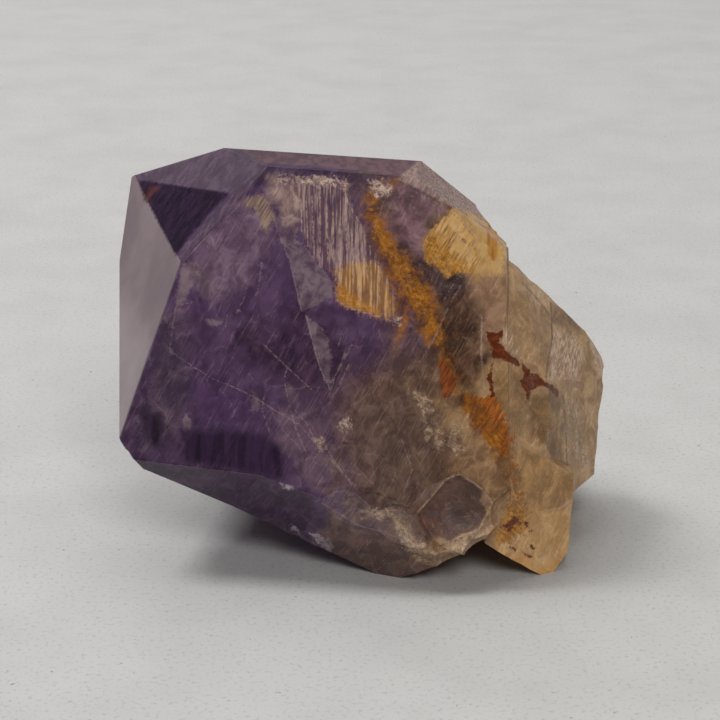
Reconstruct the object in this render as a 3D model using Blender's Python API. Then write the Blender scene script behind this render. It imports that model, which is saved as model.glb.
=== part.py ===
"""Raw amethyst point: a flat-faced purple termination on a broken, paler base, one solid stone.

X runs along the crystal, from its point (-X) to its broken base (+X). The front is -Y, up is +Z.
z = 0 is the patch that the stone rests on, and x = y = 0 is the middle of its outline from above.
The stone is three convex chunks grown together, each bounded by flat faces. A face is given by
the bearing of its outward normal (degrees, 0 = front, 90 = base end), the normal's tilt above the
horizontal, and the face's distance in millimetres from CENTRE. Shell-shaped breaks are cut after.
"""

from math import cos, radians, sin

import bmesh
import bpy
from mathutils import Vector, noise

MM = 0.001
CENTRE = Vector((0.0, 0.0, 25.0)) * MM
BLOCK_SIZE = 160.0 * MM
STONE_COLOUR = (0.15, 0.07, 0.19, 1.0)
STONE_ROUGHNESS = 0.12

# Smooth crystal faces of the tip and body
CRYSTAL_FACES = {
    "left_tip": (-67.1, 23.9, 28.3),
    "upper_tip": (-62.0, 42.7, 27.7),
    "front": (-8.2, 18.0, 16.0),
    "front_right": (3.9, 21.1, 15.0),
    "top": (133.5, 83.6, 24.7),
    "heel_back": (-102.0, -22.3, 27.7),
    "crown_back": (-113.7, -13.2, 30.3),
    "crown_top": (-172.1, 65.7, 26.4),
    "back_top": (176.2, 57.8, 23.6),
    "back": (-177.1, 0.0, 20.0),
    "shoulder_slope": (90.9, 52.2, 23.8),
    "shoulder_back": (128.0, 40.8, 23.2),
}

# The patch it rests on
REST_FACE = {"rest": (0.0, -90.0, 25.0)}

# Broken faces of the body
BROKEN_FACES = {
    "bottom_left": (-60.0, -61.1, 25.3),
    "heel_chip": (-72.2, -33.2, 32.4),
    "back_low": (180.0, -24.0, 21.1),
    "end": (85.3, 2.9, 19.9),
    "lobe_low": (61.2, -32.2, 30.3),
    "lobe_under": (83.3, -60.0, 25.3),
}

# Undercut below the front's lower edge: what lies outside both of these faces is removed
UNDERCUT_FACES = {
    "under_left": (-11.3, -28.8, 23.5),
    "under_front": (-20.9, -22.7, 24.5),
}

# Paler chunk behind the shoulder
BASE_FACES = {
    "slope": (49.3, 13.8, 23.1),
    "frost": (57.2, 10.4, 24.5),
    "window": (33.6, 23.9, 18.4),
    "low_front": (26.0, 14.7, 19.5),
    "right_front": (61.7, 22.4, 23.1),
    "right_side": (91.1, -7.8, 33.7),
    "right_low": (71.8, -33.0, 35.5),
    "top_back": (144.1, 47.2, 14.9),
    "corner_back": (132.9, 31.2, 21.9),
    "base_back": (168.7, -8.0, 17.5),
    "base_under": (63.4, -67.5, 27.5),
    "inside": (-67.9, 8.0, -11.8),
}

# Warm, clear foot under the paler chunk
FOOT_FACES = {
    "foot_front": (26.7, 15.6, 19.2),
    "foot_side": (86.3, -1.9, 28.8),
    "foot_chip": (75.0, -34.2, 37.9),
    "foot_under": (-87.1, -54.3, 7.2),
    "foot_top": (97.2, 54.2, 4.2),
    "foot_back": (180.0, -5.7, 13.4),
    "inside": (-65.8, 17.3, -11.7),
}

# Shell-shaped breaks: a point on the surface (mm), the bearing and tilt that the break faces,
# the ball's radius and how deep it bites (mm)
SCOOPS = {
    "lobe": ((11.7, -20.7, 10.9), (10.0, 14.0), 9.0, 1.3),
    "lobe_step": ((5.0, -22.0, 9.3), (-6.0, 0.0), 7.0, 0.9),
    "ledge": ((-1.9, -21.0, 11.3), (-10.0, -12.0), 8.0, 0.7),
    "window": ((23.9, -11.8, 18.2), (36.0, 20.0), 13.0, 0.9),
    "window_top": ((25.6, -8.6, 24.5), (60.0, 10.0), 8.0, 0.5),
    "slope_top": ((23.4, -3.5, 36.0), (140.0, 46.0), 14.0, 1.3),
    "frost_low": ((30.5, -4.0, 21.0), (70.0, 0.0), 9.0, 0.8),
    "right_edge": ((33.2, 1.0, 13.6), (90.0, 0.0), 7.0, 0.9),
    "right_edge_high": ((33.2, 2.0, 20.0), (90.0, -5.0), 6.0, 0.5),
    "foot_notch": ((29.2, -9.0, 9.0), (85.0, -10.0), 4.0, 0.7),
    "foot_flank": ((24.5, -16.0, 7.5), (30.0, 16.0), 14.0, 0.6),
    "lip_left": ((7.3, -21.6, 3.4), (10.0, -30.0), 3.0, 0.8),
    "lip_middle": ((10.6, -22.0, 4.2), (30.0, -35.0), 2.6, 0.7),
    "lip_right": ((14.6, -22.2, 6.0), (45.0, -25.0), 3.2, 0.8),
    "lip_high": ((17.4, -20.2, 10.0), (70.0, -5.0), 3.4, 0.8),
    "chip_left": ((-11.0, -15.5, 6.0), (-30.0, -45.0), 2.4, 0.5),
    "chip_middle": ((-7.6, -16.6, 4.4), (-30.0, -45.0), 2.8, 0.6),
    "chip_right": ((-4.2, -17.6, 2.9), (-30.0, -40.0), 2.4, 0.5),
    "heel": ((-29.6, -12.6, 14.6), (-60.0, -35.0), 6.0, 0.7),
    "back_left": ((-12.0, 19.5, 14.0), (190.0, -15.0), 15.0, 2.0),
    "back_right": ((6.0, 18.0, 10.0), (170.0, -20.0), 13.0, 1.9),
    "back_base": ((19.0, 15.0, 22.0), (165.0, 5.0), 12.0, 1.8),
    "back_foot": ((21.0, 12.5, 8.0), (160.0, -10.0), 9.0, 1.5),
    "back_shoulder": ((15.0, 12.0, 37.0), (150.0, 35.0), 11.0, 1.3),
    "base_corner": ((28.0, 10.0, 19.0), (125.0, 5.0), 10.0, 1.6),
    "belly_left": ((-16.0, 0.0, 5.5), (-62.0, -58.0), 12.0, 1.3),
    "belly_heel": ((-24.0, 4.0, 14.0), (-80.0, -45.0), 13.0, 1.2),
}
SCOOP_SEGMENTS = 36
SCOOP_RINGS = 18
SCOOP_WAVE = 0.08
SCOOP_WAVES_PER_RADIUS = 1.6

# Fineness and unevenness of the broken skin
CELL = 2.1 * MM
CELL_SNAP = 0.5 * MM
LUMP_SIZE = 7.0 * MM
LUMP_HEIGHT = 0.34 * MM
GRAIN_SIZE = 2.6 * MM
GRAIN_HEIGHT = 0.16 * MM
REST_CLEARANCE = 0.25 * MM
SAME_PLANE = 0.06 * MM
SAME_DIRECTION = 0.9995
WELD = 0.05 * MM


def direction(bearing, tilt):
    level = cos(radians(tilt))
    return Vector((sin(radians(bearing)) * level, -cos(radians(bearing)) * level, sin(radians(tilt))))


def chunk(faces):
    """A cube cut down to the convex solid inside all the given faces."""
    solid = bmesh.new()
    bmesh.ops.create_cube(solid, size=BLOCK_SIZE)
    for bearing, tilt, distance in faces.values():
        normal = direction(bearing, tilt)
        cut = bmesh.ops.bisect_plane(
            solid,
            geom=solid.verts[:] + solid.edges[:] + solid.faces[:],
            plane_co=CENTRE + normal * distance * MM,
            plane_no=normal,
            clear_outer=True,
        )
        rim = [item for item in cut["geom_cut"] if isinstance(item, bmesh.types.BMEdge)]
        if rim:
            bmesh.ops.contextual_create(solid, geom=rim)
    bmesh.ops.recalc_face_normals(solid, faces=solid.faces[:])
    return solid


def reversed_faces(faces):
    """The same planes, seen from their other side."""
    return {name: (bearing + 180.0, -tilt, -distance) for name, (bearing, tilt, distance) in faces.items()}


def lumpy_ball(centre, radius):
    solid = bmesh.new()
    bmesh.ops.create_uvsphere(solid, u_segments=SCOOP_SEGMENTS, v_segments=SCOOP_RINGS, radius=radius)
    for vert in solid.verts:
        vert.co *= 1.0 + SCOOP_WAVE * noise.noise((vert.co + centre) * SCOOP_WAVES_PER_RADIUS / radius)
    bmesh.ops.translate(solid, verts=solid.verts[:], vec=centre)
    return solid


def add_object(name, solid, collection):
    mesh = bpy.data.meshes.new(name)
    solid.to_mesh(mesh)
    solid.free()
    item = bpy.data.objects.new(name, mesh)
    collection.objects.link(item)
    return item


def add_cutter(name, solid, collection):
    cutter = add_object(name, solid, collection)
    cutter.hide_render = True
    cutter.display_type = "WIRE"
    return cutter


def combine(item, other, operation):
    joint = item.modifiers.new(other.name, "BOOLEAN")
    joint.operation = operation
    joint.solver = "EXACT"
    joint.object = other


def on_face(point, faces):
    """Whether a point lies on one of the given flat faces."""
    for bearing, tilt, distance in faces.values():
        if abs((point - CENTRE).dot(direction(bearing, tilt)) - distance * MM) < SAME_PLANE:
            return True
    return False


def is_flat(face, faces):
    """Whether a mesh face is part of one of the given flat faces."""
    for bearing, tilt, distance in faces.values():
        normal = direction(bearing, tilt)
        if face.normal.dot(normal) > SAME_DIRECTION:
            if abs((face.calc_center_median() - CENTRE).dot(normal) - distance * MM) < SAME_PLANE:
                return True
    return False


def slice_broken_skin(stone, kept_flat):
    """Cuts the broken faces into small cells along X, Y and Z, and leaves the smooth ones whole."""
    for axis in range(3):
        normal = Vector((0.0, 0.0, 0.0))
        normal[axis] = 1.0
        low = min(vert.co[axis] for vert in stone.verts)
        high = max(vert.co[axis] for vert in stone.verts)
        for step in range(1, int((high - low) / CELL)):
            broken = [face for face in stone.faces if not is_flat(face, kept_flat)]
            edges = {edge for face in broken for edge in face.edges}
            verts = {vert for face in broken for vert in face.verts}
            bmesh.ops.bisect_plane(
                stone,
                geom=broken + list(edges) + list(verts),
                dist=CELL_SNAP,
                plane_co=normal * (low + step * CELL),
                plane_no=normal,
            )


def roughen(stone, kept_flat):
    """Moves the broken skin in and out, and keeps the smooth faces and the resting patch flat."""
    moves = {}
    for vert in stone.verts:
        if on_face(vert.co, kept_flat):
            continue
        lump = noise.noise(vert.co / LUMP_SIZE) * LUMP_HEIGHT
        grain = noise.noise(vert.co / GRAIN_SIZE) * GRAIN_HEIGHT
        moves[vert] = vert.co + vert.normal * (lump + grain)
    for vert, place in moves.items():
        place.z = max(place.z, REST_CLEARANCE)
        vert.co = place


def stand_over_origin(stone):
    """Puts the middle of the outline, seen from above, on the Z axis."""
    middle = Vector((0.0, 0.0, 0.0))
    for axis in (0, 1):
        low = min(vert.co[axis] for vert in stone.verts)
        high = max(vert.co[axis] for vert in stone.verts)
        middle[axis] = (low + high) / 2.0
    bmesh.ops.translate(stone, verts=stone.verts[:], vec=-middle)


def make_material():
    material = bpy.data.materials.new("amethyst")
    material.use_nodes = True
    shader = material.node_tree.nodes["Principled BSDF"]
    shader.inputs["Base Color"].default_value = STONE_COLOUR
    shader.inputs["Roughness"].default_value = STONE_ROUGHNESS
    shader.inputs["Metallic"].default_value = 0.0
    return material


def main():
    for item in list(bpy.data.objects):
        bpy.data.objects.remove(item)
    parts = bpy.data.collections.new("raw_amethyst_point")
    cutters = bpy.data.collections.new("cutters")
    bpy.context.scene.collection.children.link(parts)
    bpy.context.scene.collection.children.link(cutters)

    body = add_object("body", chunk(CRYSTAL_FACES | REST_FACE | BROKEN_FACES), cutters)
    combine(body, add_cutter("undercut", chunk(reversed_faces(UNDERCUT_FACES)), cutters), "DIFFERENCE")
    combine(body, add_cutter("base", chunk(BASE_FACES | REST_FACE), cutters), "UNION")
    combine(body, add_cutter("foot", chunk(FOOT_FACES | REST_FACE), cutters), "UNION")
    for name, (point, facing, radius, depth) in SCOOPS.items():
        centre = Vector(point) * MM + direction(*facing) * (radius - depth) * MM
        combine(body, add_cutter("scoop_" + name, lumpy_ball(centre, radius * MM), cutters), "DIFFERENCE")

    stone = bmesh.new()
    stone.from_object(body, bpy.context.evaluated_depsgraph_get())
    bpy.data.objects.remove(body)
    bmesh.ops.remove_doubles(stone, verts=stone.verts[:], dist=WELD)
    kept_flat = CRYSTAL_FACES | UNDERCUT_FACES | REST_FACE
    slice_broken_skin(stone, kept_flat)
    bmesh.ops.triangulate(stone, faces=stone.faces[:])
    bmesh.ops.recalc_face_normals(stone, faces=stone.faces[:])
    roughen(stone, kept_flat)
    stand_over_origin(stone)
    crystal = add_object("amethyst_point", stone, parts)
    crystal.data.materials.append(make_material())


main()
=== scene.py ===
"""Looks of the raw amethyst point: stained, cloudy quartz with polished faces and a broken base."""

from math import cos, radians, sin

import bmesh
import bpy
import numpy as np
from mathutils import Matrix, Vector, noise
from mathutils.bvhtree import BVHTree


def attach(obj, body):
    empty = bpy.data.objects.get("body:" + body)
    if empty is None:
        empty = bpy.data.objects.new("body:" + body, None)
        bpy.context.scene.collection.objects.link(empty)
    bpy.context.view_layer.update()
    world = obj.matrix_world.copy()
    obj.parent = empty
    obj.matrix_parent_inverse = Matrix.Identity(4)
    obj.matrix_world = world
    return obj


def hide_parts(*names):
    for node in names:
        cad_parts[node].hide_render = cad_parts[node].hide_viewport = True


MM = 0.001

# The camera looks along +Y and down, at a point inside the stone
CAMERA_TILT = 20.0
CAMERA_DISTANCE = 268.0 * MM
CAMERA_LENS = 100.0
SENSOR = 36.0
LOOK_AT = Vector((-0.309, 1.165, 22.9)) * MM
PICTURE = 720.0
PIXEL = CAMERA_DISTANCE * SENSOR / CAMERA_LENS / PICTURE

TOWARDS_CAMERA = Vector((0.0, -cos(radians(CAMERA_TILT)), sin(radians(CAMERA_TILT))))
CAMERA_UP = Vector((0.0, sin(radians(CAMERA_TILT)), cos(radians(CAMERA_TILT))))

# Corners of the solid closer than this are one
SAME_PLACE = 0.001 * MM
# A face of the solid above this area is a crystal face, and the rest is broken
SMOOTH_FACE_AREA = 14.0 * MM * MM
# A face with a longer outline and a smaller width than these is a sliver
SLIVER_REACH = 20.0 * MM
SLIVER_WIDTH = 0.2 * MM
# Crystal edges
FLAT_ANGLE = radians(0.8)
EDGE_ANGLE = radians(14.0)
EDGE_ROUNDING = 0.1 * MM
# Broken skin: finer cells, soft between its ridges, with pits and ripples
BROKEN_CUTS = 2
BROKEN_SMOOTHINGS = 5
RIDGE_ANGLE = radians(24.0)
PIT_HEIGHT = 0.04 * MM
PIT_SIZE = 1.3 * MM
RIPPLE_HEIGHT = 0.10 * MM
RIPPLE_SIZE = 3.4 * MM
FLOOR_GAP = 0.1 * MM
SHADE_ANGLE = radians(32.0)

# Mesh cells at the edges of crisp marks, at the edges of softer ones, and elsewhere. A cell grows
# by so many millimetres for each pixel beyond the margin of a mark's edge
FINE_CELL = 0.26 * MM
SHAPE_CELL = 0.45 * MM
COARSE_CELL = 1.0 * MM
CRISP = 0.9
EDGE_MARGIN = 3.0
CELL_GROWTH = 0.05
# Edges up to this many cells long stay whole, and cells stay coarse where the stone faces away
LONGEST_EDGE = 1.5
FACING_AWAY = -0.2
HALVINGS = 9

# Pixels that put a mark out of reach on the sides not seen, and the facing over which it fades
OUT_OF_SIGHT = 60.0
FADING = (-0.12, 0.02)

# Pixels right of the iron band over which the stone turns smoky and then beige. The turns lie
# further left low down, and their borders are ragged
TURNS_SMOKY = (-60.0, 50.0)
TURNS_BEIGE = (60.0, 125.0)
LOW_DOWN = (290.0, 430.0)
LOW_SHIFT = 125.0
BORDER_RAGGED = 24.0
TONE_GRAIN = 2.4 * MM

# The see-through share of the stone looks dark, so its colours are laid on brighter
BRIGHTNESS = 2.0
BRIGHTEST = 0.92
VIOLET = {"dark": "#3e2845", "light": "#5a425f"}
SMOKY = {"dark": "#463129", "light": "#694f3d"}
BEIGE = {"dark": "#7c5e40", "light": "#9e7e58"}
# Worn edges are scuffed paler, partly real wear and partly a painted highlight along the edge
WORN_EDGE_AND_SHEEN = "#65535e"
CLEARNESS = {"violet": 0.55, "smoky": 0.35}
# The violet body has fewer cracks, and fewer sparks of painted glint, than the smoky base
FEWEST_SPARKS = 0.35

# Healed fractures: walls and bends in a metre, how far a wall bends, and its share of a cell
FRACTURE_WALLS = 150.0
FRACTURE_BENDS = 220.0
FRACTURE_SWAY = 5.0 * MM
FRACTURE_WIDTH = 0.025
# Painted highlight: what catches the light is painted this much brighter than the stone around it, plus a faint
# painted glow
CATCH_GAIN = 1.3
CATCH_GLOW = (0.09, 0.07, 0.06)
# Noise values between which a patchy mark goes and comes
PATCHY = (0.38, 0.54)
# Roughness of a crystal face, and what the break and the worn edges add to it
POLISH = 0.1
BROKEN_ROUGHNESS = 0.22
WORN_ROUGHNESS = 0.45
# The share of its clearness that the stone loses where it is broken
BROKEN_CLOUDING = 0.3


def seen(points):
    """Where the camera sees points, in pixels of a 720 by 720 picture."""
    offset = points - np.array(LOOK_AT)
    scale = CAMERA_DISTANCE / (CAMERA_DISTANCE - offset @ np.array(TOWARDS_CAMERA)) / PIXEL
    across = PICTURE / 2 + offset[:, 0] * scale
    down = PICTURE / 2 - offset @ np.array(CAMERA_UP) * scale
    return np.stack([across, down], axis=1)


# Shapes on and in the stone, as the camera sees them (pixels); a strip's points have a half width
IRON_BAND = [(392, 184, 5), (374, 194, 7), (374, 216, 9), (384, 244, 12), (402, 272, 15), (420, 300, 15),
             (436, 332, 12), (447, 362, 6), (458, 392, 6), (480, 418, 10), (498, 440, 11), (510, 468, 6),
             (516, 498, 6), (520, 516, 9), (508, 532, 10)]
IRON_BRANCH = [(402, 300, 9), (404, 322, 5), (400, 338, 3)]
CRACKS = [
    [(172, 352), (192, 366), (215, 380), (236, 388), (254, 397), (276, 411), (300, 425)],
    [(289, 362), (284, 380), (290, 409), (297, 432), (306, 452)],
    [(295, 410), (307, 424), (314, 438), (323, 442), (335, 462)],
    [(263, 344), (288, 368), (312, 390)],
    [(272, 215), (280, 236), (290, 262), (302, 312)],
    [(270, 212), (300, 240), (330, 280)],
    [(300, 425), (318, 446), (340, 470), (356, 486)],
    [(306, 316), (312, 340), (320, 368), (329, 388)],
    [(306, 316), (322, 328), (327, 338)],
    [(236, 314), (243, 300), (247, 288)],
    [(238, 314), (250, 302), (258, 292)],
    [(262, 262), (258, 290)],
    [(227, 314), (226, 326), (218, 336)],
    [(170, 352), (172, 330), (176, 306), (192, 302)],
    [(182, 262), (208, 236), (240, 204)],
    [(402, 440), (412, 470), (404, 492)],
    [(482, 316), (482, 360), (484, 392)],
    [(444, 300), (452, 286), (464, 270)],
    [(432, 344), (440, 326), (452, 300), (460, 286)],
    [(422, 360), (430, 344), (438, 330)],
    [(270, 433), (262, 410), (264, 396)],
    [(322, 503), (340, 514), (360, 526), (384, 532), (404, 540), (418, 552)],
    [(338, 520), (352, 508), (372, 512), (392, 508)],
    [(388, 188), (380, 214), (372, 232)],
    [(338, 190), (350, 214), (366, 236)],
    [(512, 262), (526, 280), (546, 300)],
    [(512, 286), (530, 300), (548, 314)],
    [(528, 312), (547, 328)],
    [(565, 430), (580, 448), (590, 456)],
    [(566, 468), (580, 452), (594, 442)],
    [(343, 332), (338, 346)],
    [(352, 344), (341, 366), (329, 386)],
    [(349, 364), (340, 384), (329, 404)],
    [(332, 458), (344, 474), (354, 488)],
    [(345, 352), (338, 370), (330, 392)],
]
# Painted highlights: pale lines along the edges of ledges, where they catch the light
LEDGE_HIGHLIGHTS = [
    [(514, 440), (528, 449), (545, 457), (560, 468), (572, 476)],
    [(337, 300), (345, 306), (366, 312), (384, 318), (398, 324)],
    [(418, 512), (430, 498), (444, 481), (456, 474)],
    [(510, 478), (514, 494), (520, 508)],
    [(430, 562), (452, 550), (470, 534), (492, 518)],
    [(385, 508), (402, 526), (420, 546)],
]
# Painted shadow: dark lines along ridges, creases, the edge of the window and under the ledges and the lobe,
# where shade falls
SHADOW_LINES = [
    [(551, 303), (552, 340), (548, 362), (546, 378)],
    [(563, 396), (566, 430), (567, 466)],
    [(508, 246), (508, 300), (505, 330)],
    [(419, 514), (431, 500), (447, 482)],
    [(418, 532), (440, 546), (462, 538)],
    [(240, 334), (262, 350), (290, 372)],
    [(522, 282), (538, 300), (550, 316)],
    [(374, 512), (390, 504), (410, 508)],
    [(345, 498), (372, 492), (396, 500)],
]
# The plate's pale striations, which the stone has, and painted highlights along the edges of facets and ledges
# on the gold patch, the right side and the lobe rim
STRIATIONS_AND_HIGHLIGHTS = [
    [(301, 202), (302, 232)],
    [(306, 198), (308, 246)],
    [(312, 196), (314, 256)],
    [(320, 184), (320, 266)],
    [(327, 204), (328, 262)],
    [(333, 212), (334, 268)],
    [(340, 216), (341, 282)],
    [(345, 186), (347, 262)],
    [(341, 184), (350, 206), (363, 229)],
    [(352, 234), (353, 284)],
    [(358, 238), (360, 292)],
    [(365, 236), (367, 278)],
    [(370, 246), (372, 300)],
    [(378, 262), (380, 304)],
    [(337, 300), (345, 307), (366, 313), (385, 319), (399, 323)],
    [(452, 211), (460, 218), (477, 238), (473, 248)],
    [(460, 218), (456, 233), (449, 246)],
    [(457, 236), (467, 246), (470, 262)],
    [(482, 316), (481, 352), (484, 392)],
    [(528, 272), (540, 287), (551, 301)],
    [(509, 262), (524, 277)],
    [(554, 332), (560, 352), (552, 376)],
    [(566, 336), (582, 352), (586, 364)],
    [(549, 379), (566, 378), (585, 381)],
    [(587, 332), (596, 346), (602, 362)],
    [(601, 368), (596, 380), (596, 398)],
    [(596, 404), (590, 418), (598, 440)],
    [(571, 479), (584, 470), (594, 456)],
    [(446, 479), (460, 474), (471, 481), (482, 489)],
    [(488, 512), (478, 531), (462, 535), (451, 542)],
    [(540, 512), (560, 508), (572, 500)],
    [(530, 562), (548, 556), (562, 560), (558, 571)],
]


def with_width(lines, half):
    """Lines as strips of one half width."""
    return [[(x, y, half) for x, y in line] for line in lines]


def patch(name, pattern, soft, ragged, dark, light, share, clear, outlines=(), strips=(), patchy=0.0,
          seam=False):
    """A patch of one kind of stone. Its pattern runs from dark to light and hides its share of the
    stone below, and clear is how see-through it is. Its soft edge and its raggedness are in pixels.
    Wisps take the patchy share out of it. A seam goes on round the stone, and the rest is on the
    side seen."""
    return {"name": name, "pattern": pattern, "soft": soft, "ragged": ragged, "dark": dark, "light": light,
            "share": share, "clear": clear, "outlines": outlines, "strips": strips, "patchy": patchy,
            "seam": seam}


# Broad tones, which go into the mesh itself
TONES = [
    patch("mauve_shoulder", "", 12, 14, "#564052", "#74606e", 0.85, 0.4, [
        [(184, 262), (240, 198), (266, 202), (272, 230), (264, 268), (244, 290), (212, 302), (196, 288)]]),
    patch("violet_pane", "", 7, 6, "#3c2947", "#573b60", 0.8, 0.55, [
        [(186, 372), (215, 384), (254, 400), (262, 420), (258, 436), (200, 430), (182, 424)]]),
    patch("left_haze", "", 8, 12, "#3b2c3e", "#5a4854", 0.8, 0.4, [
        [(160, 320), (182, 300), (192, 360), (190, 410), (176, 440), (146, 450), (134, 430)]]),
    patch("inner_dark", "", 9, 22, "#241228", "#452d42", 0.8, 0.5, [
        [(236, 316), (268, 322), (300, 300), (330, 322), (350, 350), (336, 396), (306, 410), (286, 384),
         (256, 366), (234, 344)]]),
    patch("mauve_low", "", 8, 12, "#4c3a48", "#6b5560", 0.8, 0.4, [
        [(292, 392), (312, 414), (338, 446), (356, 486), (330, 500), (300, 480), (270, 440), (276, 416)]]),
    # Painted shade: the violet strip along the underside, painted darker where the stone shades it
    patch("under_strip", "", 2, 4, "#27132e", "#3d2342", 0.85, 0.55, [
        [(120, 450), (151, 463), (205, 468), (237, 473), (283, 484), (318, 500), (300, 540), (240, 512),
         (180, 484), (128, 462)]]),
    # Painted shade: the brown rim low under the stone, painted darker where the stone shades it
    patch("under_brown", "", 9, 8, "#4c3933", "#6f564a", 0.85, 0.4, [
        [(330, 506), (359, 527), (404, 540), (420, 556), (400, 580), (340, 566), (318, 548)]]),
    patch("brown_heart", "", 22, 20, "#4b3830", "#6f584a", 0.85, 0.4, [
        [(345, 400), (400, 380), (430, 420), (430, 500), (396, 530), (346, 506), (330, 450)]]),
    patch("smoky_pool", "", 9, 14, "#2f1b11", "#523320", 0.85, 0.4, [
        [(446, 276), (470, 286), (480, 330), (480, 380), (462, 398), (448, 360), (438, 320)]]),
    patch("plum_top", "", 7, 12, "#51373f", "#84636a", 0.85, 0.4, [
        [(384, 184), (420, 186), (450, 206), (432, 226), (424, 262), (404, 250), (388, 220)]]),
    patch("ink_pocket", "", 5, 10, "#2a1a24", "#54403f", 0.85, 0.55, [
        [(402, 250), (424, 262), (448, 272), (470, 280), (452, 300), (432, 292), (412, 272)]]),
    patch("beige_pane", "", 8, 10, "#7c5c45", "#99785e", 0.85, 0.3, [
        [(468, 274), (506, 268), (510, 330), (500, 340), (484, 334), (478, 310)]]),
    patch("slope_pane", "", 5, 6, "#86694a", "#a98962", 0.85, 0.3, [
        [(508, 250), (524, 268), (552, 302), (550, 340), (545, 376), (520, 360), (506, 340)]]),
    # Painted light and shade: facets of the slope painted lighter and darker by how the light falls on them
    patch("slope_light", "", 3, 6, "#9a7d5e", "#b7997a", 0.85, 0.3, [
        [(511, 258), (530, 276), (551, 300), (550, 310), (530, 298), (514, 286)]]),
    patch("slope_shade", "", 3, 6, "#785b3f", "#977757", 0.8, 0.3, [
        [(528, 302), (551, 314), (551, 344), (546, 372), (532, 364), (524, 340)]]),
    patch("olive_pane", "", 4, 6, "#6f5233", "#876943", 0.85, 0.35, [
        [(494, 366), (522, 370), (530, 400), (520, 440), (506, 420), (494, 398)]]),
    patch("right_pane", "", 5, 10, "#806243", "#a4855e", 0.85, 0.3, [
        [(552, 304), (588, 330), (603, 360), (596, 400), (600, 470), (574, 486), (562, 440), (556, 392),
         (548, 376)]]),
    # Painted shade on the facet below the peak
    patch("peak_shade", "", 3, 5, "#66503b", "#86694f", 0.8, 0.35, [
        [(554, 305), (574, 316), (584, 334), (568, 332), (554, 322)]]),
    # Painted light along the right rim
    patch("rim_light", "", 2, 4, "#a68c72", "#b7a089", 0.8, 0.25, [
        [(586, 330), (604, 352), (604, 372), (597, 380), (594, 360)]]),
    # Painted shade low on the right side
    patch("low_shade", "", 4, 6, "#73583a", "#947551", 0.75, 0.3, [
        [(567, 390), (584, 396), (588, 430), (578, 462), (568, 446)]]),
    patch("window", "", 3, 6, "#5e4325", "#7f5f38", 0.9, 0.35, [
        [(530, 398), (540, 391), (552, 390), (560, 400), (563, 430), (564, 466), (552, 458), (538, 436),
         (531, 418)]]),
    patch("foot_back", "", 6, 8, "#7d5b35", "#997445", 0.85, 0.4, [
        [(514, 442), (545, 458), (572, 477), (575, 500), (560, 520), (530, 510), (512, 480)]]),
    patch("foot_front", "", 8, 10, "#9a7448", "#b69164", 0.9, 0.3, [
        [(520, 504), (550, 508), (575, 498), (573, 540), (566, 570), (540, 580), (490, 556), (506, 520)]]),
    patch("foot_toe", "", 4, 8, "#a27238", "#b88a50", 0.8, 0.3, [
        [(494, 548), (530, 562), (566, 556), (564, 575), (546, 580), (506, 564)]]),
    patch("lobe_brown", "", 5, 10, "#614630", "#8f704f", 0.85, 0.3, [
        [(446, 470), (480, 440), (500, 450), (508, 490), (508, 520), (470, 550), (430, 564), (416, 556),
         (440, 540), (470, 515), (484, 496), (466, 478)]]),
    patch("white_top", "", 8, 10, "#6d5653", "#a58e7c", 0.85, 0.2, [
        [(268, 176), (300, 182), (304, 206), (300, 236), (284, 230), (272, 208)]]),
    patch("shoulder_gold", "", 6, 12, "#a67e48", "#b7915c", 0.9, 0.25, [
        [(454, 210), (480, 218), (500, 230), (506, 246), (504, 272), (468, 272), (470, 250), (460, 228)]]),
]
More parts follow.
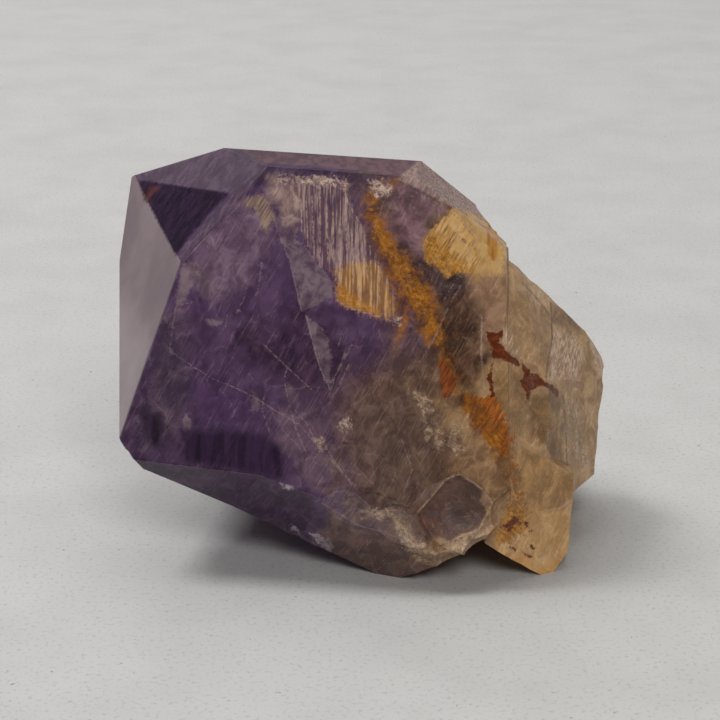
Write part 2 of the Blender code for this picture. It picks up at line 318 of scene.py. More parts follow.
# Marks with crisp edges, which the material draws, from the broadest to the finest
MARKS = [
    patch("veils", "wisps", 1.5, 12, "#54434a", "#7d6b6e", 0.8, 0.3, [
        [(272, 214), (298, 240), (332, 280), (334, 296), (318, 304), (302, 312), (290, 262), (280, 236)],
        [(306, 316), (322, 328), (328, 340), (332, 360), (329, 388), (320, 368), (312, 342)],
        [(208, 266), (213, 284), (212, 298), (204, 300), (196, 288), (200, 278)],
        [(182, 264), (196, 262), (202, 270), (194, 282), (186, 300), (176, 306), (178, 286)],
        [(204, 318), (214, 320), (222, 319), (220, 325), (208, 326)],
        [(182, 420), (186, 414), (192, 422), (190, 430), (184, 428)],
        [(250, 390), (258, 394), (260, 408), (252, 412)]], patchy=0.3),
    patch("dark_stripes", "stripes", 7, 12, "#0d0513", "#301d38", 0.88, 0.55, [
        [(182, 430), (230, 430), (262, 434), (286, 452), (284, 480), (240, 472), (186, 462)],
        [(143, 412), (158, 414), (164, 430), (162, 452), (150, 446), (146, 430)]], patchy=0.25),
    patch("lobe_dark", "wisps", 1.5, 8, "#36201a", "#56382d", 0.9, 0.3, [
        [(418, 513), (424, 508), (434, 496), (446, 480), (460, 475), (470, 482), (482, 490), (480, 500),
         (487, 512), (476, 530), (462, 533), (450, 541), (432, 534), (420, 527)]]),
    patch("plate", "fine_stripes", 3, 12, "#563e45", "#9e857c", 0.9, 0.25, [
        [(284, 178), (316, 180), (342, 183), (352, 206), (363, 228), (374, 252), (388, 280), (396, 300),
         (352, 290), (337, 280), (320, 265), (303, 238), (300, 200)]], patchy=0.45),
    patch("plate_gold", "fine_stripes", 5, 30, "#80582f", "#b78e5c", 0.92, 0.2, [
        [(334, 272), (352, 262), (376, 262), (388, 280), (396, 300), (400, 322), (386, 319), (352, 308),
         (338, 300)]], patchy=0.35),
    patch("plate_amber", "grain", 4, 16, "#8a5416", "#b48340", 0.85, 0.15, [
        [(337, 284), (346, 288), (358, 300), (372, 306), (384, 318), (366, 312), (346, 307), (337, 299)]]),
    patch("gold", "hairs", 2, 12, "#7d5526", "#b9925c", 0.93, 0.1, [
        [(422, 243), (430, 230), (440, 221), (452, 210), (459, 217), (467, 227), (478, 239), (474, 249),
         (479, 262), (470, 274), (456, 271), (447, 277), (438, 267), (426, 262)]]),
    patch("gold_rust", "speckle", 4, 20, "#6a4010", "#a97528", 0.8, 0.1, [
        [(423, 243), (431, 233), (440, 236), (446, 250), (460, 262), (470, 272), (447, 276), (427, 262)]],
        patchy=0.3),
    # Painted glints: small facets in the gold patch, painted lighter as if catching the light
    patch("gold_facets", "wisps", 1.2, 5, "#a5804e", "#bd9a68", 0.85, 0.1, [
        [(451, 213), (458, 218), (466, 228), (456, 232), (446, 222)],
        [(458, 234), (468, 231), (476, 239), (468, 243)],
        [(457, 237), (467, 246), (462, 256), (450, 246)],
        [(465, 248), (473, 246), (475, 258), (467, 262)]]),
    patch("amber_streak", "stripes", 2, 12, "#8d5516", "#b27c30", 0.85, 0.3, [
        [(488, 226), (497, 230), (499, 244), (496, 262), (490, 258), (486, 244)]]),
    patch("warm_wisps", "hairs", 3, 16, "#665247", "#ab9370", 0.75, 0.3, [
        [(236, 204), (246, 198), (262, 194), (271, 202), (274, 216), (268, 234), (262, 226), (254, 208)]],
        patchy=0.4),
    patch("orange", "hairs", 3, 30, "#5c2802", "#ab590a", 0.93, 0.1, [
        [(466, 396), (480, 396), (494, 394), (502, 408), (508, 424), (514, 440), (510, 452), (502, 458),
         (494, 448), (482, 434), (472, 424)]], patchy=0.2),
    patch("iron", "wisps", 6, 46, "#3c2006", "#86500f", 0.95, 0.1, (), [IRON_BAND, IRON_BRANCH], patchy=0.5,
          seam=True),
    patch("iron_grains", "speckle", 3, 40, "#5c3208", "#a8712e", 0.65, 0.1, (),
          [[(x, y, half - 7) for x, y, half in IRON_BAND]], patchy=0.7, seam=True),
    patch("russet", "hairs", 1.5, 12, "#4c200c", "#83431c", 0.92, 0.15, [
        [(438, 358), (446, 362), (452, 372), (457, 382), (450, 398), (442, 398), (440, 382)]]),
    patch("ochre_foot", "speckle", 4, 28, "#6d4410", "#a67428", 0.85, 0.2, [
        [(506, 500), (516, 506), (530, 512), (526, 528), (510, 542), (496, 544), (492, 534), (504, 518)]],
        patchy=0.3),
    patch("frosted", "hairs", 4, 24, "#7a5f49", "#c2a78f", 1.0, 0.15, [
        [(502, 326), (510, 329), (515, 340), (520, 351), (512, 357), (505, 347)],
        [(553, 328), (576, 336), (584, 356), (580, 378), (550, 378), (548, 356)]], patchy=0.5),
    patch("pale_flecks", "speckle", 2, 24, "#735d48", "#b79e84", 0.75, 0.3, [
        [(588, 330), (602, 356), (602, 368), (596, 378), (593, 360), (586, 342)],
        [(388, 512), (404, 516), (416, 540), (440, 552), (470, 540), (500, 522), (470, 552), (440, 566),
         (416, 560), (402, 544)],
        [(413, 390), (422, 390), (432, 402), (436, 412), (428, 416), (418, 406)],
        [(424, 414), (436, 420), (446, 440), (438, 452), (426, 440)],
        [(448, 440), (456, 422), (462, 428), (460, 444), (466, 448), (456, 456)],
        [(356, 510), (372, 508), (390, 512), (386, 520), (362, 519)],
        [(313, 440), (322, 438), (326, 446), (320, 452)],
        [(566, 400), (578, 404), (584, 430), (590, 462), (580, 470), (572, 440)]], patchy=0.9),
    patch("chips", "speckle", 1.5, 12, "#756974", "#b5abac", 0.8, 0.2, [
        [(308, 532), (318, 534), (330, 540), (334, 550), (322, 546)],
        [(280, 484), (296, 486), (294, 490), (284, 489)],
        [(290, 524), (298, 528), (300, 534), (292, 530)]], patchy=0.6),
    # Painted reflection: the left facet of the tip, painted pale grey for the light it reflects
    patch("left_facet", "clouds", 1, 0, "#7a6d6f", "#8b7e7e", 0.92, 0.4, [
        [(133, 172), (181, 262), (120, 438), (108, 440), (108, 172)]]),
    patch("tip_ridge", "hairs", 1.5, 6, "#3f313f", "#604f5c", 0.85, 0.4, [
        [(178, 258), (204, 222), (240, 184), (262, 166), (268, 168), (244, 196), (210, 232), (182, 262)]]),
    patch("tip_light", "wisps", 1.5, 6, "#4a3c49", "#5f515c", 0.9, 0.4, [
        [(133, 168), (225, 142), (270, 160), (264, 170), (240, 186), (230, 193), (185, 187), (160, 183),
         (138, 180)]]),
    patch("tip_dark", "hairs", 1.5, 6, "#0c0413", "#2c1a35", 0.95, 0.5, [
        [(137, 180), (160, 183), (185, 187), (230, 193), (214, 208), (188, 238), (176, 256), (160, 226),
         (145, 197)]]),
    patch("tip_ember", "wisps", 2.5, 6, "#26101a", "#5a2e2a", 0.8, 0.4, [
        [(142, 190), (148, 187), (162, 186), (153, 194), (148, 204), (144, 200)]]),
    patch("top_strip", "stripes", 1.5, 4, "#5a414c", "#72545a", 0.9, 0.4, [
        [(225, 140), (262, 163), (310, 166), (375, 172), (398, 178), (420, 186), (440, 176), (420, 150),
         (300, 136)]]),
    patch("shoulder_rim", "hairs", 1.5, 6, "#775e5c", "#a68c82", 0.9, 0.3, [
        [(398, 178), (420, 160), (442, 176), (468, 198), (498, 220), (484, 216), (450, 206)]]),
    patch("glints", "speckle", 2, 24, "#54404a", "#c8ac98", 0.9, 0.2, [
        [(336, 418), (348, 418), (352, 426), (346, 432), (340, 428)],
        [(277, 175), (300, 176), (318, 176), (340, 178), (352, 183), (346, 189), (330, 184), (314, 186),
         (298, 184), (282, 184)],
        [(366, 180), (380, 181), (392, 186), (392, 196), (376, 198), (370, 190)],
        [(392, 316), (402, 318), (400, 324), (392, 322)]], patchy=0.6),
    # Real striations, and painted highlights along edges
    patch("bright_lines", "grain", 0.8, 3, "#9c8070", "#c4aa98", 0.95, 0.2, (), with_width(STRIATIONS_AND_HIGHLIGHTS, 0.5),
          patchy=0.4),
    # Painted shadow lines along ridges and under ledges
    patch("dark_lines", "grain", 0.8, 4, "#2c1d18", "#3c2a22", 0.7, 0.4, (), with_width(SHADOW_LINES, 0.7),
          patchy=0.5),
    patch("cracks", "grain", 0.7, 4, "#7c6869", "#a9958e", 0.85, 0.3, (), with_width(CRACKS, 0.45), patchy=0.5),
    # Painted highlights along the ledges
    patch("ledges", "grain", 0.8, 5, "#9c7c58", "#b89670", 0.85, 0.2, (), with_width(LEDGE_HIGHLIGHTS, 0.6), patchy=0.7),
    patch("rust", "grain", 0.7, 10, "#3f1504", "#5e2608", 0.97, 0.05, [
        [(487, 331), (494, 333), (503, 330), (502, 336), (499, 342), (505, 349), (511, 356), (521, 362),
         (519, 367), (509, 363), (500, 359), (492, 358), (492, 350), (488, 342)],
        [(521, 362), (528, 368), (531, 374), (539, 374), (546, 383), (552, 385), (559, 391), (557, 398),
         (552, 392), (544, 386), (536, 388), (531, 391), (528, 402), (525, 392), (520, 382), (523, 374)]], [
        [(493, 364, 1), (489, 378, 2), (493, 396, 2)],
        [(500, 527, 1), (508, 525, 2), (515, 519, 3), (520, 523, 1)],
        [(508, 531, 2), (513, 525, 2)],
        [(524, 519, 1), (526, 526, 1)],
        [(511, 547, 1), (517, 551, 1)],
        [(521, 552, 1), (532, 557, 1)],
        [(531, 546, 1), (534, 549, 1)],
        [(530, 531, 1), (532, 531, 1)]]),
]

# Patterns: size in millimetres across, deep and tall, lean to the right in degrees, detail,
# roughness, distortion, and the noise values at which they turn dark and light. Hackle has none,
# because only its height is used
PATTERNS = {
    "clouds": ((9.0, 9.0, 9.0), 0.0, 4.0, 0.5, 0.0, 0.35, 0.65),
    "wisps": ((2.2, 2.2, 2.6), 20.0, 6.0, 0.65, 0.6, 0.36, 0.66),
    "grain": ((0.6, 0.6, 0.6), 0.0, 5.0, 0.7, 0.0, 0.4, 0.64),
    "speckle": ((0.6, 0.6, 0.45), 40.0, 6.0, 0.75, 0.4, 0.4, 0.62),
    "stripes": ((0.85, 3.0, 14.0), 3.0, 3.0, 0.5, 0.0, 0.42, 0.6),
    "fine_stripes": ((0.32, 2.0, 16.0), 1.0, 3.0, 0.6, 0.0, 0.45, 0.62),
    "hairs": ((0.3, 1.2, 4.0), 32.0, 5.0, 0.7, 0.2, 0.38, 0.66),
    "scratches": ((0.2, 1.0, 6.0), 30.0, 2.0, 0.5, 0.3, 0.57, 0.7),
    "sparks": ((0.45, 0.45, 0.3), 35.0, 6.0, 0.8, 0.6, 0.57, 0.7),
    "hackle": ((1.5, 1.5, 1.1), 35.0, 6.0, 0.65, 0.8),
}


def along_segment(places, start, end):
    """Each place's share of the way along a segment, and its offset from the nearest point there."""
    way = np.array(end) - np.array(start)
    share = np.clip((places - np.array(start)) @ way / (way @ way), 0.0, 1.0)
    return share, places - np.array(start) - share[:, None] * way


def outline_distance(places, outline):
    """Distance in pixels from a closed outline, negative inside it."""
    nearest = np.full(len(places), np.inf)
    inside = np.zeros(len(places), bool)
    for start, end in zip(outline, outline[1:] + outline[:1]):
        offset = along_segment(places, start, end)[1]
        nearest = np.minimum(nearest, np.hypot(offset[:, 0], offset[:, 1]))
        if start[1] != end[1]:
            spans = (start[1] > places[:, 1]) != (end[1] > places[:, 1])
            slope = (end[0] - start[0]) / (end[1] - start[1])
            inside ^= spans & (places[:, 0] < start[0] + (places[:, 1] - start[1]) * slope)
    return np.where(inside, -nearest, nearest)


def strip_distance(places, strip):
    """Distance in pixels from a strip whose points each have a half width, negative inside it."""
    nearest = np.full(len(places), np.inf)
    for start, end in zip(strip, strip[1:]):
        share, offset = along_segment(places, start[:2], end[:2])
        half = start[2] + (end[2] - start[2]) * share
        nearest = np.minimum(nearest, np.hypot(offset[:, 0], offset[:, 1]) - half)
    return nearest


def patch_distance(places, item):
    """Distance in pixels from the nearest outline or strip of a patch."""
    reach = [outline_distance(places, outline) for outline in item["outlines"]]
    return np.min(reach + [strip_distance(places, strip) for strip in item["strips"]], axis=0)


def ramp(value, low, high):
    """Rises smoothly from 0 at low to 1 at high."""
    share = np.clip((value - low) / (high - low), 0.0, 1.0)
    return share * share * (3.0 - 2.0 * share)


# Crystal surface mesh
def vectors(items, place):
    """A row of three numbers for each item."""
    return np.array([place(item)[:] for item in items])


def cell_size(points):
    """How fine the mesh is at points: finest at the edges of crisp marks."""
    places = seen(points)
    size = np.full(len(points), COARSE_CELL)
    for item in MARKS:
        finest = FINE_CELL if item["soft"] < CRISP else SHAPE_CELL
        beyond = np.clip(abs(patch_distance(places, item)) - EDGE_MARGIN, 0.0, None)
        size = np.minimum(size, finest + beyond * CELL_GROWTH * MM)
    return size


def flatten(stone):
    """Makes one face of the faces that lie in one plane."""
    bmesh.ops.dissolve_limit(stone, angle_limit=FLAT_ANGLE, verts=stone.verts[:], edges=stone.edges[:])


def cut_to_triangles(stone):
    bmesh.ops.triangulate(stone, faces=[face for face in stone.faces if len(face.verts) > 3])


def close_slivers(stone):
    """A crystal face can end in a sliver: its short side closes, and the faces beside it become one."""
    slivers = [face for face in stone.faces if face.calc_perimeter() > SLIVER_REACH
               and 4.0 * face.calc_area() < SLIVER_WIDTH * face.calc_perimeter()]
    short = [min(face.edges, key=lambda edge: edge.calc_length()) for face in slivers]
    bmesh.ops.collapse(stone, edges=short)
    flatten(stone)


def wear_edges(stone, broken, worn):
    """Rounds the edges between crystal faces a little."""
    facet_edges = [edge for edge in stone.edges if edge.calc_face_angle() > EDGE_ANGLE
                   and all(face[broken] == 0.0 for face in edge.link_faces)]
    rounded = bmesh.ops.bevel(
        stone, geom=facet_edges, offset=EDGE_ROUNDING, affect="EDGES", segments=2, profile=0.5, material=-1,
        clamp_overlap=True)
    for face in rounded["faces"]:
        face[broken] = 0.0
        face[worn] = 1.0


def roughen(stone, broken):
    """Softens the broken skin between its ridges, and gives it pits and ripples."""
    rough = set(bmesh.ops.triangulate(
        stone, faces=[face for face in stone.faces if face[broken] == 1.0])["faces"])
    rough_edges = [edge for edge in stone.edges if any(face in rough for face in edge.link_faces)]
    for edge in rough_edges:
        edge.smooth = edge.calc_face_angle() < RIDGE_ANGLE
    bmesh.ops.subdivide_edges(stone, edges=rough_edges, cuts=BROKEN_CUTS, use_grid_fill=True)
    inner = [vert for vert in stone.verts if all(face[broken] == 1.0 for face in vert.link_faces)]
    soft = [vert for vert in inner if all(edge.smooth for edge in vert.link_edges)]
    for turn in range(BROKEN_SMOOTHINGS):
        bmesh.ops.smooth_vert(stone, verts=soft, factor=0.5, use_axis_x=True, use_axis_y=True, use_axis_z=True)
    stone.normal_update()
    moves = {}
    for vert in inner:
        pits = noise.noise(vert.co / PIT_SIZE) * PIT_HEIGHT
        ripples = (0.5 - abs(noise.noise(vert.co / RIPPLE_SIZE + Vector((7.0, 3.0, 1.0))))) * RIPPLE_HEIGHT
        moves[vert] = vert.co + vert.normal * (pits + ripples)
    for vert, place in moves.items():
        place.z = max(place.z, FLOOR_GAP)
        vert.co = place


def refine(stone):
    """Halves the edges that are longer than the mesh is fine, until none is left."""
    for turn in range(HALVINGS):
        stone.normal_update()
        edges = [edge for edge in stone.edges if edge.calc_length() > FINE_CELL * LONGEST_EDGE]
        starts = vectors(edges, lambda edge: edge.verts[0].co)
        ends = vectors(edges, lambda edge: edge.verts[1].co)
        normals = vectors(edges, lambda edge: edge.verts[0].normal)
        facing = normals @ np.array(TOWARDS_CAMERA) > FACING_AWAY
        limit = np.full(len(edges), COARSE_CELL)
        limit[facing] = cell_size((starts + ends)[facing] / 2.0)
        long_ones = np.nonzero(np.linalg.norm(starts - ends, axis=1) > limit * LONGEST_EDGE)[0]
        if not len(long_ones):
            break
        bmesh.ops.subdivide_edges(
            stone, edges=[edges[i] for i in long_ones], cuts=1, use_single_edge=True, use_grid_fill=True)
        cut_to_triangles(stone)


def stone_mesh(node):
    """The solid's shape with worn crystal edges, a rough break, and cells fine enough for the marks."""
    stone = bmesh.new()
    stone.from_mesh(bpy.data.objects[node].data)
    bmesh.ops.remove_doubles(stone, verts=stone.verts[:], dist=SAME_PLACE)
    flatten(stone)
    close_slivers(stone)
    broken = stone.faces.layers.float.new("broken")
    worn = stone.faces.layers.float.new("worn")
    for face in stone.faces:
        face[broken] = 0.0 if face.calc_area() > SMOOTH_FACE_AREA else 1.0
    wear_edges(stone, broken, worn)
    roughen(stone, broken)
    cut_to_triangles(stone)
    refine(stone)
    # Shading stays crisp where a polished face meets a worn edge or the break
    for edge in stone.edges:
        kinds = {(face[worn], face[broken]) for face in edge.link_faces}
        edge.smooth = len(kinds) == 1 and edge.calc_face_angle() < SHADE_ANGLE
    return stone


# Tones and marks on the mesh
def store(mesh, name, values):
    """Gives each vertex its own number or colour."""
    kind, slot = ("FLOAT", "value") if values.ndim == 1 else ("FLOAT_COLOR", "color")
    mesh.attributes.new(name, kind, "POINT").data.foreach_set(slot, values.ravel())


def away_from_camera(mesh, points, normals):
    """Pixels to add to a mark's distance, so that it stays on the side that the camera sees."""
    away = OUT_OF_SIGHT * (1.0 - ramp(normals @ np.array(TOWARDS_CAMERA), *FADING))
    surface = BVHTree.FromPolygons(
        [vert.co for vert in mesh.vertices], [face.vertices for face in mesh.polygons])
    for index in np.nonzero(away < OUT_OF_SIGHT)[0]:
        # The ray towards the camera starts just clear of the surface
        start = Vector(points[index] + normals[index] * 0.3 * MM) + TOWARDS_CAMERA * MM
        if surface.ray_cast(start, TOWARDS_CAMERA)[0] is not None:
            away[index] = OUT_OF_SIGHT
    return away


def paint(mesh):
    """Stores the broad tones, and how far each vertex is from each mark, as the camera sees it."""
    points, normals = np.zeros(len(mesh.vertices) * 3), np.zeros(len(mesh.vertices) * 3)
    mesh.vertices.foreach_get("co", points)
    mesh.vertices.foreach_get("normal", normals)
    points, normals = points.reshape(-1, 3), normals.reshape(-1, 3)
    places = seen(points)
    ragged = np.array([noise.fractal(Vector(point) / TONE_GRAIN, 0.7, 2.0, 4) for point in points])
    unseen = away_from_camera(mesh, points, normals)

    # The colour drifts from violet on the left through smoky brown to pale beige on the right
    middle = sorted((y, x) for x, y, half in IRON_BAND[1:])
    drift = places[:, 0] - np.interp(places[:, 1], [y for y, x in middle], [x for y, x in middle])
    drift += LOW_SHIFT * ramp(places[:, 1], *LOW_DOWN) + BORDER_RAGGED * ragged
    smoky, beige = ramp(drift, *TURNS_SMOKY)[:, None], ramp(drift, *TURNS_BEIGE)[:, None]
    clear = CLEARNESS["violet"] + (CLEARNESS["smoky"] - CLEARNESS["violet"]) * smoky[:, 0]
    tones = {shade: (1.0 - beige) * ((1.0 - smoky) * linear(VIOLET[shade]) + smoky * linear(SMOKY[shade]))
             + beige * linear(BEIGE[shade]) for shade in ("dark", "light")}
    for item in TONES:
        reach = patch_distance(places, item) + unseen + ragged * item["ragged"]
        share = item["share"] * (1.0 - ramp(reach, -item["soft"], item["soft"]))
        clear += (item["clear"] - clear) * share
        for shade in tones:
            tones[shade] += (linear(item[shade]) - tones[shade]) * share[:, None]
    for shade, colour in tones.items():
        store(mesh, "tone_" + shade, colour)
    store(mesh, "clear", clear)
    # How crazed the stone is, which sets its hackle and how many painted glints it shows
    store(mesh, "crazing_and_glints", FEWEST_SPARKS + (1.0 - FEWEST_SPARKS) * smoky[:, 0])
    for item in MARKS:
        store(mesh, item["name"], patch_distance(places, item) + (0.0 if item["seam"] else unseen))


# Materials
def linear(hex_colour):
    """A linear colour from an sRGB hex colour."""
    parts = np.array([int(hex_colour[i:i + 2], 16) / 255.0 for i in (1, 3, 5)])
    return np.append(np.where(parts <= 0.04045, parts / 12.92, ((parts + 0.055) / 1.055) ** 2.4), 1.0)


def add_node(tree, kind, inputs, output=0, **settings):
    """Adds a node with its settings and links, and gives one of its outputs."""
    item = tree.nodes.new(kind)
    for name, value in settings.items():
        setattr(item, name, value)
    for key, value in inputs.items():
        if isinstance(value, bpy.types.NodeSocket):
            tree.links.new(value, item.inputs[key])
        else:
            item.inputs[key].default_value = value
    return item.outputs[output]


def amethyst():
    """Amethyst grading into smoky and iron-stained quartz. Its natural faces are glossy over a
    cloudy, part see-through body, so light goes in at the edges and comes back violet or brown."""
    material = bpy.data.materials.new("amethyst_quartz")
    material.use_nodes = True
    tree = material.node_tree
    shader = tree.nodes["Principled BSDF"]
    math, mix, spread, read = "ShaderNodeMath", "ShaderNodeMix", "ShaderNodeMapRange", "ShaderNodeAttribute"
    place = add_node(tree, "ShaderNodeTexCoord", {}, "Object")
    noises, patterns = {}, {}
    for name, (size, lean, detail, roughness, distortion, *turns) in PATTERNS.items():
        stretched = add_node(tree, "ShaderNodeMapping", {
            "Vector": place, "Rotation": (0.0, radians(lean), 0.0), "Scale": [side * MM for side in size]},
            vector_type="TEXTURE")
        noises[name] = add_node(tree, "ShaderNodeTexNoise", {
            "Vector": stretched, "Scale": 1.0, "Detail": detail, "Roughness": roughness,
            "Distortion": distortion}, "Fac")
        if turns:
            patterns[name] = add_node(tree, spread, {
                "Value": noises[name], "From Min": turns[0], "From Max": turns[1]},
                interpolation_type="SMOOTHSTEP")

    tones = [add_node(tree, read, {}, "Color", attribute_name="tone_" + shade) for shade in ("dark", "light")]
    colour = add_node(tree, mix, {0: patterns["wisps"], 6: tones[0], 7: tones[1]}, 2, data_type="RGBA")
    clear = add_node(tree, read, {}, "Fac", attribute_name="clear")

    # Healed fractures: thin, bent walls between cells of about 7 mm
    bent = add_node(tree, "ShaderNodeTexNoise", {
        "Vector": place, "Scale": FRACTURE_BENDS, "Detail": 3.0}, "Color")
    bent = add_node(tree, "ShaderNodeVectorMath", {0: bent, 1: [FRACTURE_SWAY] * 3, 2: place},
                    operation="MULTIPLY_ADD")
    walls = add_node(tree, "ShaderNodeTexVoronoi", {"Vector": bent, "Scale": FRACTURE_WALLS}, "Distance",
                     feature="DISTANCE_TO_EDGE")
    thin = add_node(tree, spread, {"Value": walls, "From Max": FRACTURE_WIDTH, "To Min": 0.5, "To Max": 0.0})
    fractures = add_node(tree, math, {0: thin, 1: patterns["wisps"]}, operation="MULTIPLY")
    crazing_and_glints = add_node(tree, read, {}, "Fac", attribute_name="crazing_and_glints")
    sparks = add_node(tree, math, {0: patterns["sparks"], 1: crazing_and_glints}, operation="MULTIPLY")
    # Painted highlights: fractures, hairs and scratches, which the stone has, and the sparks are painted
    # brighter where they catch the light, each by its share
    for catching, share in ((fractures, 0.9), (patterns["hairs"], 0.12), (patterns["scratches"], 0.5),
                            (sparks, 1.0)):
        lit = add_node(tree, "ShaderNodeVectorMath", {0: colour, 1: [CATCH_GAIN] * 3, 2: CATCH_GLOW},
                       operation="MULTIPLY_ADD")
        share = add_node(tree, math, {0: catching, 1: share}, operation="MULTIPLY")
        colour = add_node(tree, mix, {0: share, 6: colour, 7: lit}, 2, data_type="RGBA")

    # A mark shows where its distance is below zero, which the grain makes ragged
    for item in MARKS:
        reach = add_node(tree, read, {}, "Fac", attribute_name=item["name"])
        reach = add_node(tree, math, {0: noises["grain"], 1: item["ragged"], 2: reach},
                         operation="MULTIPLY_ADD")
        edge = item["ragged"] / 2.0
        share = add_node(tree, spread, {
            "Value": reach, "From Min": edge - item["soft"], "From Max": edge + item["soft"],
            "To Min": item["share"], "To Max": 0.0}, interpolation_type="SMOOTHSTEP")
        if item["patchy"]:
            present = add_node(tree, spread, {
                "Value": noises["wisps"], "From Min": PATCHY[0], "From Max": PATCHY[1],
                "To Min": 1.0 - item["patchy"]})
            share = add_node(tree, math, {0: share, 1: present}, operation="MULTIPLY")
        stone = add_node(tree, mix, {0: patterns[item["pattern"]], 6: linear(item["dark"]),
                                     7: linear(item["light"])}, 2, data_type="RGBA")
        colour = add_node(tree, mix, {0: share, 6: colour, 7: stone}, 2, data_type="RGBA")
        clear = add_node(tree, mix, {0: share, 2: clear, 3: item["clear"]}, 0)

    # Real wear and painted highlight: the worn edges are scuffed paler in grain, which also stands in for light
    # along the edge
    worn = add_node(tree, read, {}, "Fac", attribute_name="worn")
    scuffed_and_sheen = add_node(tree, math, {0: worn, 1: patterns["grain"]}, operation="MULTIPLY")
    colour = add_node(tree, mix, {0: scuffed_and_sheen, 6: colour, 7: linear(WORN_EDGE_AND_SHEEN)}, 2, data_type="RGBA")
    colour = add_node(tree, "ShaderNodeVectorMath", {0: colour, "Scale": BRIGHTNESS}, operation="SCALE")
    colour = add_node(tree, "ShaderNodeVectorMath", {0: colour, 1: [BRIGHTEST] * 3}, operation="MINIMUM")
    tree.links.new(colour, shader.inputs["Base Color"])

    # The break is cloudier and duller than the crystal faces, and the worn edges are the dullest
    broken = add_node(tree, read, {}, "Fac", attribute_name="broken")
    kept = add_node(tree, math, {0: broken, 1: -BROKEN_CLOUDING, 2: 1.0}, operation="MULTIPLY_ADD")
    clear = add_node(tree, math, {0: clear, 1: kept}, operation="MULTIPLY")
    tree.links.new(clear, shader.inputs["Transmission Weight"])
    rough = add_node(tree, math, {0: broken, 1: BROKEN_ROUGHNESS, 2: POLISH}, operation="MULTIPLY_ADD")
    rough = add_node(tree, math, {0: worn, 1: WORN_ROUGHNESS, 2: rough}, operation="MULTIPLY_ADD")
    tree.links.new(rough, shader.inputs["Roughness"])
    shader.inputs["IOR"].default_value = 1.544

    # Faint growth lines all over, hackle on the break, and a trace of it in the smoky part
    striated = add_node(tree, "ShaderNodeBump", {
        "Height": noises["hairs"], "Strength": 0.06, "Distance": 0.1 * MM})
    pitted = add_node(tree, spread, {
        "Value": crazing_and_glints, "From Min": FEWEST_SPARKS, "From Max": 1.0, "To Max": 0.08})
    pitted = add_node(tree, math, {0: broken, 1: 0.6, 2: pitted}, operation="MULTIPLY_ADD")
    pitted = add_node(tree, "ShaderNodeBump", {
        "Height": noises["hackle"], "Strength": pitted, "Distance": 0.45 * MM, "Normal": striated})
    tree.links.new(pitted, shader.inputs["Normal"])

    # Light that crosses the stone comes out violet
    absorption = add_node(tree, "ShaderNodeVolumeAbsorption", {"Color": linear("#b193ba"), "Density": 20.0})
    tree.links.new(absorption, tree.nodes["Material Output"].inputs["Volume"])
    return material


def concrete():
    """Pale, trowelled concrete: matt, with a faint mottle, sandy specks and a few pinholes."""
    material = bpy.data.materials.new("trowelled_concrete")
    material.use_nodes = True
    tree = material.node_tree
    place = add_node(tree, "ShaderNodeTexCoord", {}, "Object")
    colour = linear("#bfbebc")
    # Size in millimetres, the noise values at which the stain starts and is full, its share and colour
    for size, start, full, share, stain in (
            (18.0, 0.4, 0.7, 0.4, "#adacaa"), (0.6, 0.54, 0.7, 0.5, "#8e8d8a"),
            (1.0, 0.68, 0.72, 0.75, "#5f5e5b")):
        spots = add_node(tree, "ShaderNodeTexNoise", {
            "Vector": place, "Scale": 1.0 / (size * MM), "Detail": 4.0, "Roughness": 0.6}, "Fac")
        spots = add_node(tree, "ShaderNodeMapRange", {
            "Value": spots, "From Min": start, "From Max": full, "To Max": share})
        colour = add_node(tree, "ShaderNodeMix", {0: spots, 6: colour, 7: linear(stain)}, 2, data_type="RGBA")
    shader = tree.nodes["Principled BSDF"]
    tree.links.new(colour, shader.inputs["Base Color"])
    shader.inputs["Roughness"].default_value = 0.75
    return material


def add_piece(name, stone, material, body):
    """A piece from a finished bmesh, which moves with a body."""
    mesh = bpy.data.meshes.new(name)
    stone.to_mesh(mesh)
    stone.free()
    piece = bpy.data.objects.new(name, mesh)
    bpy.context.scene.collection.objects.link(piece)
    mesh.materials.append(material)
    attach(piece, body)
    return piece


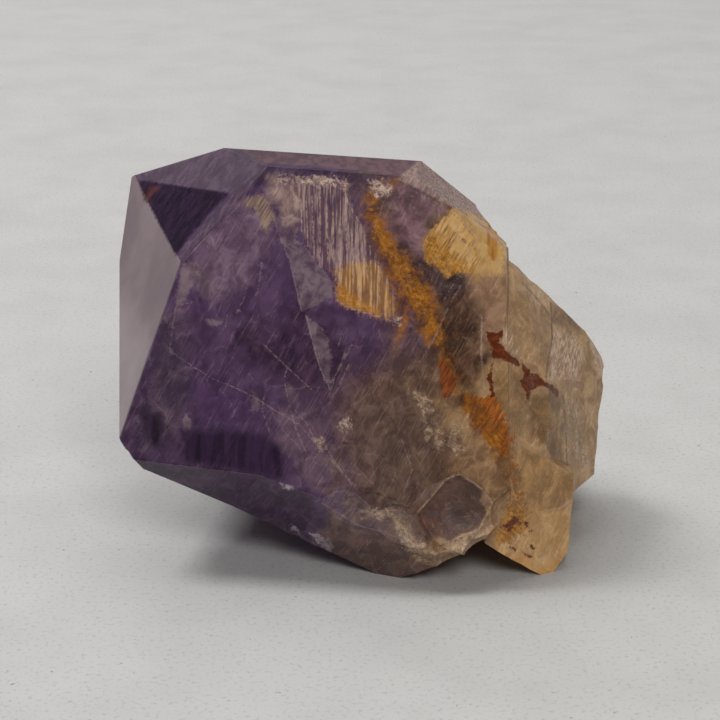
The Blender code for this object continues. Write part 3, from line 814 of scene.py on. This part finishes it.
# Studio
def add_camera():
    data = bpy.data.cameras.new("camera")
    data.lens = CAMERA_LENS
    data.sensor_width = SENSOR
    data.clip_start = 0.01
    camera = bpy.data.objects.new("camera", data)
    camera.location = LOOK_AT + TOWARDS_CAMERA * CAMERA_DISTANCE
    camera.rotation_euler = (-TOWARDS_CAMERA).to_track_quat("-Z", "Y").to_euler()
    bpy.context.scene.collection.objects.link(camera)
    bpy.context.scene.camera = camera


def add_softbox(name, place, aim, size, power):
    """A rectangular light. Its places and size are in metres, its power in watts."""
    data = bpy.data.lights.new(name, "AREA")
    data.shape = "RECTANGLE"
    data.size, data.size_y = size
    data.energy = power
    lamp = bpy.data.objects.new(name, data)
    lamp.location = place
    lamp.rotation_euler = (Vector(aim) - Vector(place)).to_track_quat("-Z", "Y").to_euler()
    bpy.context.scene.collection.objects.link(lamp)


def add_floor():
    slab = bmesh.new()
    bmesh.ops.create_grid(slab, x_segments=1, y_segments=1, size=2.0)
    mesh = bpy.data.meshes.new("floor")
    slab.to_mesh(mesh)
    slab.free()
    floor = bpy.data.objects.new("floor", mesh)
    bpy.context.scene.collection.objects.link(floor)
    mesh.materials.append(concrete())


def add_sky():
    world = bpy.data.worlds.new("studio")
    world.use_nodes = True
    back = world.node_tree.nodes["Background"]
    back.inputs["Color"].default_value = linear("#e6e5e2")
    back.inputs["Strength"].default_value = 0.12
    bpy.context.scene.world = world


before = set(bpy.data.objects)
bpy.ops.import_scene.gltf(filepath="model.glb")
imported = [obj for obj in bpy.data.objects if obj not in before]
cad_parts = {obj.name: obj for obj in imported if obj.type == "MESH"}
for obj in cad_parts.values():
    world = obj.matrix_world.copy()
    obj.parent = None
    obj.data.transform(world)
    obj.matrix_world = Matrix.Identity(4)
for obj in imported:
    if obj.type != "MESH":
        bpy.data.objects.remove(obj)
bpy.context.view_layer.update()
bpy.context.scene.view_settings.view_transform = "Standard"
add_camera()
add_floor()
add_sky()
add_softbox("key", (-0.75, 0.30, 1.35), (0.0, 0.0, 0.02), (0.45, 0.45), 11.0)
add_softbox("overhead", (-0.20, 0.70, 1.50), (0.0, 0.1, 0.02), (1.4, 1.4), 15.0)
add_softbox("fill", (0.25, -1.10, 1.10), (0.0, 0.0, 0.02), (0.6, 0.6), 9.0)

crystal = add_piece("amethyst_crystal", stone_mesh("amethyst_point"), amethyst(), "root")
crystal.data.shade_smooth()
paint(crystal.data)
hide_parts("amethyst_point")
